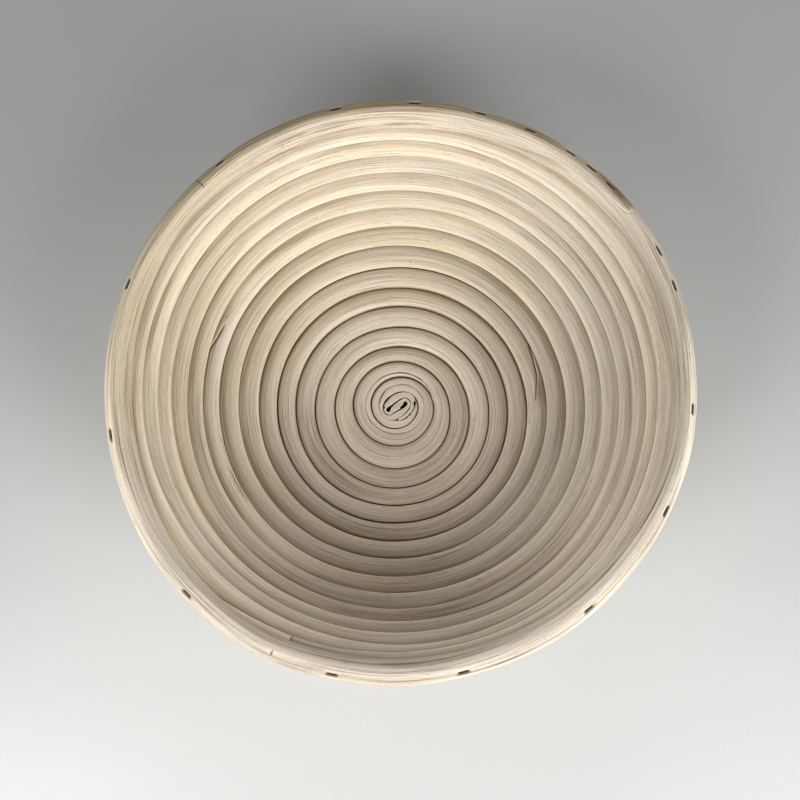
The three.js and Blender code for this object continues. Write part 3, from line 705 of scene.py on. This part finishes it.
# black painted shade in the pits and gaps
dirt_and_shade += pit_shade(flat[..., 0], flat[..., 1])
raw = .1 + .8 * torn[:, None] * np.exp(-((to_hi - .4) / .5) ** 2)
masks = np.stack([dirt_and_shade, raw, np.zeros_like(dirt_and_shade)], -1)
tones = np.zeros_like(masks)
tones[..., 2] = .03
keep(sweep("core_strip", rings, masks, PALE, 71.0, tones), "cane", "core_strip")


# near-black plugs at the bottom of the two folds: painted shade where the holes are dark
def shadow_plug(name, cx, cy, rx, ry, turn, seed):
    n, m = 7, 16
    ang = 2 * np.pi * np.arange(m) / m
    rings = []
    for k, (f, z) in enumerate(((.55, .25), (.95, .35), (1.0, .7), (.97, 1.1), (.8, 1.35), (.45, 1.45), (.12, 1.42))):
        wob = 1 + .06 * wave_noise(np.arange(m) * 1.7 + 11 * k, seed)
        ex, ey = rx * f * np.cos(ang) * wob, ry * f * np.sin(ang) * wob
        qx = cx + ex * math.cos(turn) - ey * math.sin(turn)
        qy = cy + ex * math.sin(turn) + ey * math.cos(turn)
        rings.append(np.stack([qx + FLOOR_CENTRE[0], qy + FLOOR_CENTRE[1], np.full(m, z)], -1))
    rings = np.array(rings)
    masks = np.zeros(rings.shape)
    masks[..., 0] = 1.7
    keep(sweep(name, rings, masks, PALE, 5.0 + seed), "cane")


shadow_plug("fold_dust_1", -7.0, -1.7, 1.9, 1.1, .8, 31)
shadow_plug("fold_dust_2", 1.54, 1.47, 1.9, 1.1, .8, 32)

# ---------------------------------------------------------------- rim hoop
K_RIM, K_TOP = 23, 5
RIM_HALF_T = 3.55
RIM_MID = MID - .35
STAPLE_OFF = -2.75
RIM_FROM = 14 + (360 - 61.5) / 360
RIM_TO = 15 + (360 - 34.95) / 360


def joint_fraction(deg):
    return line_table(RIM_JOINT, deg)


fine = []
for turn in (14, 15):
    for deg in RIM_STAPLES:
        c = turn + (360 - deg) / 360
        fine.append((c - .0050, c + .0050, .36))
    c = turn + (360 - 36) / 360
    fine.append((c - .012, c + .0035, .22))
    for deg in (245.4, 136.0):
        c = turn + (360 - deg) / 360
        fine.append((c - .005, c + .005, .25))
ts = stations(RIM_FROM, RIM_TO, 1.9, lambda t: 15.7, fine)
deg = 360 - (ts - np.floor(ts)) * 360
start = ts < 14 + (360 - 34.9) / 360
late = ts > 15 + (360 - 68) / 360
hi_f = np.where(start, np.maximum(joint_fraction(deg), .03), 1.0)
lo_f = np.where(late, joint_fraction(deg), 0.0)
lo_x, hi_x = np.minimum(2 * lo_f - 1, .97), 2 * hi_f - 1
n = len(ts)
a = -np.cos(np.pi * np.arange(K_RIM) / (K_RIM - 1))
b = -np.cos(np.pi * np.arange(K_RIM) / (K_RIM - 1))
xm, xh = (lo_x + hi_x) / 2, np.maximum((hi_x - lo_x) / 2, .01)
x_in = xm[:, None] + xh[:, None] * a
x_out = xm[:, None] - xh[:, None] * b


near_top = smoothstep(210, 235, deg) * smoothstep(345, 320, deg)


def rim_section(x, n_top):
    return np.where(x > 0, superellipse(x, n_top, .988), superellipse(x, 2.8, .985))


y_in, y_out = rim_section(x_in, (4.2 - .9 * near_top)[:, None]), -rim_section(x_out, 3.6)
f = (np.arange(1, K_TOP + 1) / (K_TOP + 1))[None, :]
x_top = np.repeat(x_in[:, -1:], K_TOP, 1)
y_top = y_in[:, -1:] * (1 - f) + y_out[:, :1] * f
x = np.concatenate([x_in, x_top, x_out], 1)
y = np.concatenate([y_in, y_top, y_out], 1)
length = np.concatenate([[0], np.cumsum(np.linalg.norm(np.diff(pos(ts, 15.7, MID), axis=0), axis=1))])
thick = (RIM_HALF_T + .48 * near_top) * (1 + .025 * wave_noise(length / 44, 602))
off = RIM_MID + y * thick[:, None] - .50 * x * smoothstep(-.2, .8, y) * (1 - near_top)[:, None]
off += (.12 * wave_noise(length / 60, 603))[:, None] * x
half = ((rim_crest(ts) - rim_level(ts)) / 2 - GAP / PITCH)[:, None]
u = ((rim_crest(ts) + rim_level(ts)) / 2)[:, None] + x * half
lift = .22 * wave_noise(length / 90, 607) + .10 * wave_noise(length / 25, 608)
u += lift[:, None] / PITCH * smoothstep(0, 1, x)
for j in range(1, K_RIM * 2 + K_TOP - 1):
    ridge = .035 * wave_noise(length / 26 + 311.7 * j, 605) + .02 * wave_noise(length / 6.5 + 173.3 * j, 606)
    ridge = ridge * np.clip(xh, 0, 1)
    off[:, j] += ridge * np.abs(y[:, j])
    u[:, j] += ridge * np.clip(np.abs(x[:, j]), 0, 1) ** 3 / PITCH
stain = np.zeros_like(u)
raw = np.zeros_like(u)
# dirt and painted shade along the hoop's lower edge
dirt_and_shade = .35 * np.exp(-(((x + 1) * half * PITCH) / .20) ** 2) * (1 - .75 * smoothstep(305, 318, deg) * smoothstep(352, 340, deg))[:, None]
# fibres have opened into fine cracks along the hoop
rng = np.random.default_rng(77)
for k in range(150):
    j = int(rng.integers(4, K_RIM * 2 + K_TOP - 8))
    c, w = rng.uniform(0, length[-1]), rng.uniform(5, 26)
    crack = np.exp(-((length - c) / w) ** 4) * rng.uniform(.25, .8) * smoothstep(.6, .95, xh)
    dirt_and_shade[:, j] += crack * .55
    off[:, j] -= crack * .10 * np.sign(y[:, j]) * np.abs(y[:, j])
    u[:, j] -= crack * .10 / PITCH * np.clip(np.abs(x[:, j]), 0, 1) ** 3
# the splice: a pale edge along the tail, rust at two places on top
edge = np.abs(x - np.where(late, lo_x, hi_x)[:, None]) * half * PITCH
along_joint = np.where(late | start, 1.0, 0.0) * smoothstep(66, 56, deg)
raw += np.exp(-(edge / .42) ** 2) * (along_joint * late * (.18 + .82 * smoothstep(44, 39.5, deg)))[:, None] * 1.5 * (y > -.2)
dirt_and_shade += np.exp(-(edge / .16) ** 2) * (along_joint * start * (.12 + .88 * smoothstep(50, 43, deg)))[:, None] * .6 * (y > 0)
for c, w, k in ((40.5, 2.6, .75), (60.5, 5.0, .55), (44.0, 3.0, .35)):
    stain += k * np.exp(-((deg - c) / w) ** 2)[:, None] * smoothstep(.1, .95, x) * smoothstep(.75, .2, y) * (~start)[:, None]
dash = np.exp(-((deg - 39.0) / .42) ** 4)[:, None] * np.exp(-((off - STAPLE_OFF) / .35) ** 2) * (x > .5) * (~start)[:, None]
dirt_and_shade += dash * .9
nick = np.exp(-((deg - 246.2) / .13) ** 2)[:, None] * smoothstep(.62, .8, x) * smoothstep(-.2, 0, y) * smoothstep(.55, .3, y)
dirt_and_shade += nick * .9
stain += .26 * np.exp(-((deg - 244.6) / .6) ** 2)[:, None] * smoothstep(.8, .95, x) * np.exp(-((y + .15) / .25) ** 2)
seam = np.exp(-((deg - 136.0) / .16) ** 2)[:, None] * smoothstep(.55, .9, x)
dirt_and_shade += seam * .7
whole = (hi_x > .70)
for k, sdeg in enumerate(RIM_STAPLES):
    dl = ((deg - sdeg + 180) % 360 - 180) * math.pi / 180 * 121.8
    near = (np.abs(dl) < 7) & whole
    q = off - STAPLE_OFF
    slot_l = 1 / (1 + (np.abs(dl) / 2.3) ** 10)
    slot_q = 1 / (1 + (np.abs(q) / .55) ** 6)
    lip = np.exp(-((np.abs(q) - 1.15) / .35) ** 2) / (1 + (np.abs(dl) / 2.9) ** 8)[:, None]
    press = (slot_l[:, None] * slot_q) * near[:, None] * (x > .8)
    u -= press * .70 / PITCH
    u += lip * .10 / PITCH * near[:, None] * (x > .8)
    # painted shade in the pressed slot
    dirt_and_shade += press * 1.0
    raw += lip * near[:, None] * (x > .8) * .5
masks = np.stack([np.clip(dirt_and_shade, 0, 1.2), np.clip(raw, 0, 1), stain], -1)
rings = pos(ts[:, None], u, off)
across = np.where(np.arange(u.shape[1])[None, :] < K_RIM, 7 + (1 - x) * half * PITCH, (y + 1) * 3.5)
# painted shade along the hoop's lower edge, and over the far hoop's top, darkest towards its outer side
far_top = smoothstep(34.5, 36.5, deg) * smoothstep(162, 118, deg) * (~start)
grime_and_shade = .20 * np.exp(-((x + 1) * half * PITCH / 1.6)) + ((.78 + .62 * smoothstep(60, 85, deg)) * far_top)[:, None] * (1 - smoothstep(3, 9.5, across)) * (x > -.2)
hue = np.repeat(hue_bias(ts, np.full(n, 12.0))[:, None], u.shape[1], 1) + .40 * near_top[:, None] * smoothstep(0, .7, x)
hue = hue + .13 * np.exp(-((deg - 259) / 14) ** 2)[:, None] * np.exp(-((x - .1) / .5) ** 2)
hue = hue + .13 * (smoothstep(150, 172, deg) * smoothstep(245, 225, deg))[:, None] * smoothstep(-.6, .2, x)
# painted light and shade on the hoop: brighter top at the right and the left, darker top at the near right, brighter
# upper inner face at the near side, darker inner face at the left, brighter inner face at the far side
turned = (deg + 180) % 360 - 180
on_top = smoothstep(.5, .8, x) * smoothstep(1.0, .8, y)
wear_and_painted_light = (.17 * smoothstep(-38, -14, turned) * smoothstep(14, 2, turned) + .05 * smoothstep(172, 182, deg) * smoothstep(228, 214, deg))[:, None] * smoothstep(.5, .8, x) * smoothstep(.45, -.05, y)
wear_and_painted_light = wear_and_painted_light - .02 * (smoothstep(245, 258, deg) * smoothstep(312, 298, deg))[:, None] * on_top
wear_and_painted_light = wear_and_painted_light + .155 * near_top[:, None] * smoothstep(.25, .6, x) * smoothstep(.7, .95, y)
wear_and_painted_light = wear_and_painted_light - .07 * (smoothstep(150, 165, deg) * smoothstep(215, 195, deg))[:, None] * smoothstep(.2, .6, y) * (np.arange(u.shape[1]) < K_RIM)[None, :]
wear_and_painted_light = wear_and_painted_light + .05 * (smoothstep(70, 90, deg) * smoothstep(150, 130, deg))[:, None] * (y > .5) * (x < .8)
tones = np.stack([grime_and_shade, hue,
                  np.repeat(.08 * wave_noise(length / 130, 609)[:, None], u.shape[1], 1) + wear_and_painted_light], -1)
keep(sweep("rim_hoop", rings, masks, PALE, 83.0, tones, (x_in, a, x_out, b)), "cane", "rim_hoop")

# ---------------------------------------------------------------- rim staples
def staple(name, deg):
    t = 14 + (360 - deg) / 360
    u0 = float(rim_crest(t)) - .45 / PITCH
    p = pos(t, u0, STAPLE_OFF)
    up = p - pos(t, u0 - .02, STAPLE_OFF)
    up = up / np.linalg.norm(up)
    al = pos(t + .001, u0, STAPLE_OFF) - pos(t - .001, u0, STAPLE_OFF)
    al = al - up * np.dot(al, up)
    al = al / np.linalg.norm(al)
    out = np.cross(al, up)
    rng = np.random.default_rng(int(deg * 10))
    tilt = rng.uniform(-.06, .06)
    path = []
    # at the hoop's joint the legs end inside the hoop
    for s in np.linspace(-8 if 36 < deg < 66 else -13, -1.6, 9):
        path.append((-1.7, s))
    for ang in np.linspace(0, 90, 7)[1:]:
        r = math.radians(ang)
        path.append((-1.7 + .62 * (1 - math.cos(r)), -1.12 + .62 * math.sin(r)))
    for s in np.linspace(-1.0, 1.0, 7):
        path.append((s, -.50 + .05 * (1 - s * s)))
    right = [(-a_, b_) for a_, b_ in reversed(path[:15])]
    path = np.array(path + right)
    dd = np.gradient(path, axis=0)
    dd /= np.linalg.norm(dd, axis=1)[:, None]
    nn = np.stack([-dd[:, 1], dd[:, 0]], -1)
    ang = 2 * np.pi * (np.arange(14) + .5) / 14
    sx = .5 * np.sign(np.cos(ang)) * np.abs(np.cos(ang)) ** .5
    sy = .35 * np.sign(np.sin(ang)) * np.abs(np.sin(ang)) ** .5
    flat = path[:, None, :] + nn[:, None, :] * sx[None, :, None]
    flat = np.stack([flat[..., 0], flat[..., 1] + tilt * flat[..., 0]], -1)
    into = .10 * np.maximum(0, -flat[..., 1:] - 3)
    rings = p + flat[..., :1] * al + flat[..., 1:] * up + ((np.tile(sy, (len(path), 1)))[..., None] + into) * out
    return sweep(name, rings, np.zeros(rings.shape), wire, deg * .01)


for i, deg_ in enumerate(RIM_STAPLES):
    nm = "rim_staple_%02d" % (i + 1)
    keep(staple(nm, deg_), "staple_wire", nm)

# hidden staples: the CAD part's shape, pressed a little deeper between the turns, its legs ending inside the turn below
def pressed(ob):
    at = np.array([list(ob.matrix_world @ v.co) for v in ob.data.vertices]) * 1000
    top_u = float(np.interp(at[:, 2].max(), PROF_Z, _u))
    slope = float(slope_at(top_u))
    r_hat = np.array([at[:, 0].mean(), at[:, 1].mean(), 0.0])
    r_hat /= np.linalg.norm(r_hat)
    tangent = math.cos(slope) * r_hat + np.array([0, 0, math.sin(slope)])
    outward = math.sin(slope) * r_hat - np.array([0, 0, math.cos(slope)])
    down = (at @ tangent).max() - at @ tangent
    at = at + np.maximum(0, down - 8.0)[:, None] * tangent
    at = at + (1.0 * float(smoothstep(5, 7.5, top_u)) * (1 - np.minimum(down, 8.0) / 11))[:, None] * outward
    me = bpy.data.meshes.new(ob.name + "_set")
    me.from_pydata((at * .001).tolist(), [], [list(p.vertices) for p in ob.data.polygons])
    me.materials.append(wire)
    me.update()
    piece = bpy.data.objects.new(ob.name + "_set", me)
    bpy.context.scene.collection.objects.link(piece)
    return piece


for ob in list(bpy.data.objects):
    if ob.name.startswith("coil_staple_") and ob.type == "MESH":
        keep(pressed(ob), "staple_wire", ob.name)

# ---------------------------------------------------------------- table, light, camera
def table_top():
    t = Tree("table")
    ob = t.node("ShaderNodeTexCoord").outputs["Object"]
    tone = t.noise(ob, 2.2, 2.0, .5)
    fine = t.noise(ob, 900, 2.0, .5)
    base = t.ramp(t.math("ADD", t.math("MULTIPLY", tone, .7), t.math("MULTIPLY", fine, .3)), [(.3, (.499, .502, .494)), (.7, (.533, .536, .528))])
    t.put(base, t.bsdf.inputs["Base Color"])
    t.put(t.span(fine, .3, .7, .55, .7), t.bsdf.inputs["Roughness"])
    t.bsdf.inputs["Specular IOR Level"].default_value = .2
    k = 72
    curve = [(r_, -.0001) for r_ in np.linspace(.02, 1.9, 16)]
    curve += [(1.9 + .5 * math.sin(a_), -.0001 + .5 * (1 - math.cos(a_))) for a_ in np.linspace(.1, 1.5, 14)] + [(2.41, 1.2), (2.41, 2.6)]
    vs = [(0.0, 0.0, -.0001)] + [(r_ * math.cos(2 * math.pi * c / k), r_ * math.sin(2 * math.pi * c / k), z_) for r_, z_ in curve for c in range(k)]
    fs = [(0, 1 + c, 1 + (c + 1) % k) for c in range(k)]
    fs += [(1 + r * k + c, 1 + (r + 1) * k + c, 1 + (r + 1) * k + (c + 1) % k, 1 + r * k + (c + 1) % k) for r in range(len(curve) - 1) for c in range(k)]
    me = bpy.data.meshes.new("table_top")
    me.from_pydata(vs, [], fs)
    me.materials.append(t.mat)
    me.polygons.foreach_set("use_smooth", np.ones(len(fs), bool))
    me.update()
    ob = bpy.data.objects.new("table_top", me)
    bpy.context.scene.collection.objects.link(ob)


table_top()


def area(name, loc, target, sx, sy, energy, color):
    li = bpy.data.lights.new(name, "AREA")
    li.shape = "RECTANGLE"
    li.size, li.size_y = sx, sy
    li.energy = energy
    li.color = color
    ob = bpy.data.objects.new(name, li)
    ob.location = loc
    ob.rotation_euler = (Vector(target) - Vector(loc)).to_track_quat("-Z", "Y").to_euler()
    ob.visible_camera = False
    bpy.context.scene.collection.objects.link(ob)
    return ob


AIM = (0, 0, .03)
area("near_left", (-.30, -.35, .40), AIM, .25, .25, 2.24, (1, 1, 1))
area("near_right", (.30, -.35, .40), AIM, .25, .25, 1.84, (1, 1, 1))
area("right_low", (.45, -.50, .30), AIM, .25, .25, 1.69, (1, 1, 1))
area("near_low", (0, -.50, .25), AIM, .25, .25, .32, (1, 1, 1))
area("right_far", (1.05, 0, .34), AIM, .5, .5, 1.65, (1, 1, 1))
area("back_low", (0, 1.05, .34), AIM, .5, .5, 4.25, (1, 1, 1))
area("back_left", (-.74, .74, .34), AIM, .5, .5, .96, (1, 1, 1))
corner = area("table_left", (-.44, -.47, .22), (-.20, -.23, 0), .12, .12, .10, (1, 1, 1))
corner.data.spread = math.radians(55)
world = bpy.data.worlds.new("studio")
world.use_nodes = True
bg = world.node_tree.nodes["Background"]
bg.inputs["Color"].default_value = (.96, .98, 1.0, 1)
bg.inputs["Strength"].default_value = .006
bpy.context.scene.world = world

cam = bpy.data.cameras.new("camera")
cam.sensor_width = 36
cam.lens = 32.4
cam.clip_start = .01
cam.dof.use_dof = False
cam_ob = bpy.data.objects.new("camera", cam)
A, B = math.radians(9.49), math.radians(.59)
X = Vector((math.cos(B), math.sin(B) * math.sin(A), -math.sin(B) * math.cos(A)))
Y = Vector((0, math.cos(A), math.sin(A)))
Z = Vector((math.sin(B), -math.cos(B) * math.sin(A), math.cos(B) * math.cos(A)))
m = Matrix.Identity(4)
for r in range(3):
    m[r][0], m[r][1], m[r][2] = X[r], Y[r], Z[r]
m.translation = Vector((.00364, -.0623, .3803))
cam_ob.matrix_world = m
bpy.context.scene.collection.objects.link(cam_ob)
bpy.context.scene.camera = cam_ob
bpy.context.scene.view_settings.view_transform = "Standard"
bpy.context.scene.cycles.filter_width = 1.25
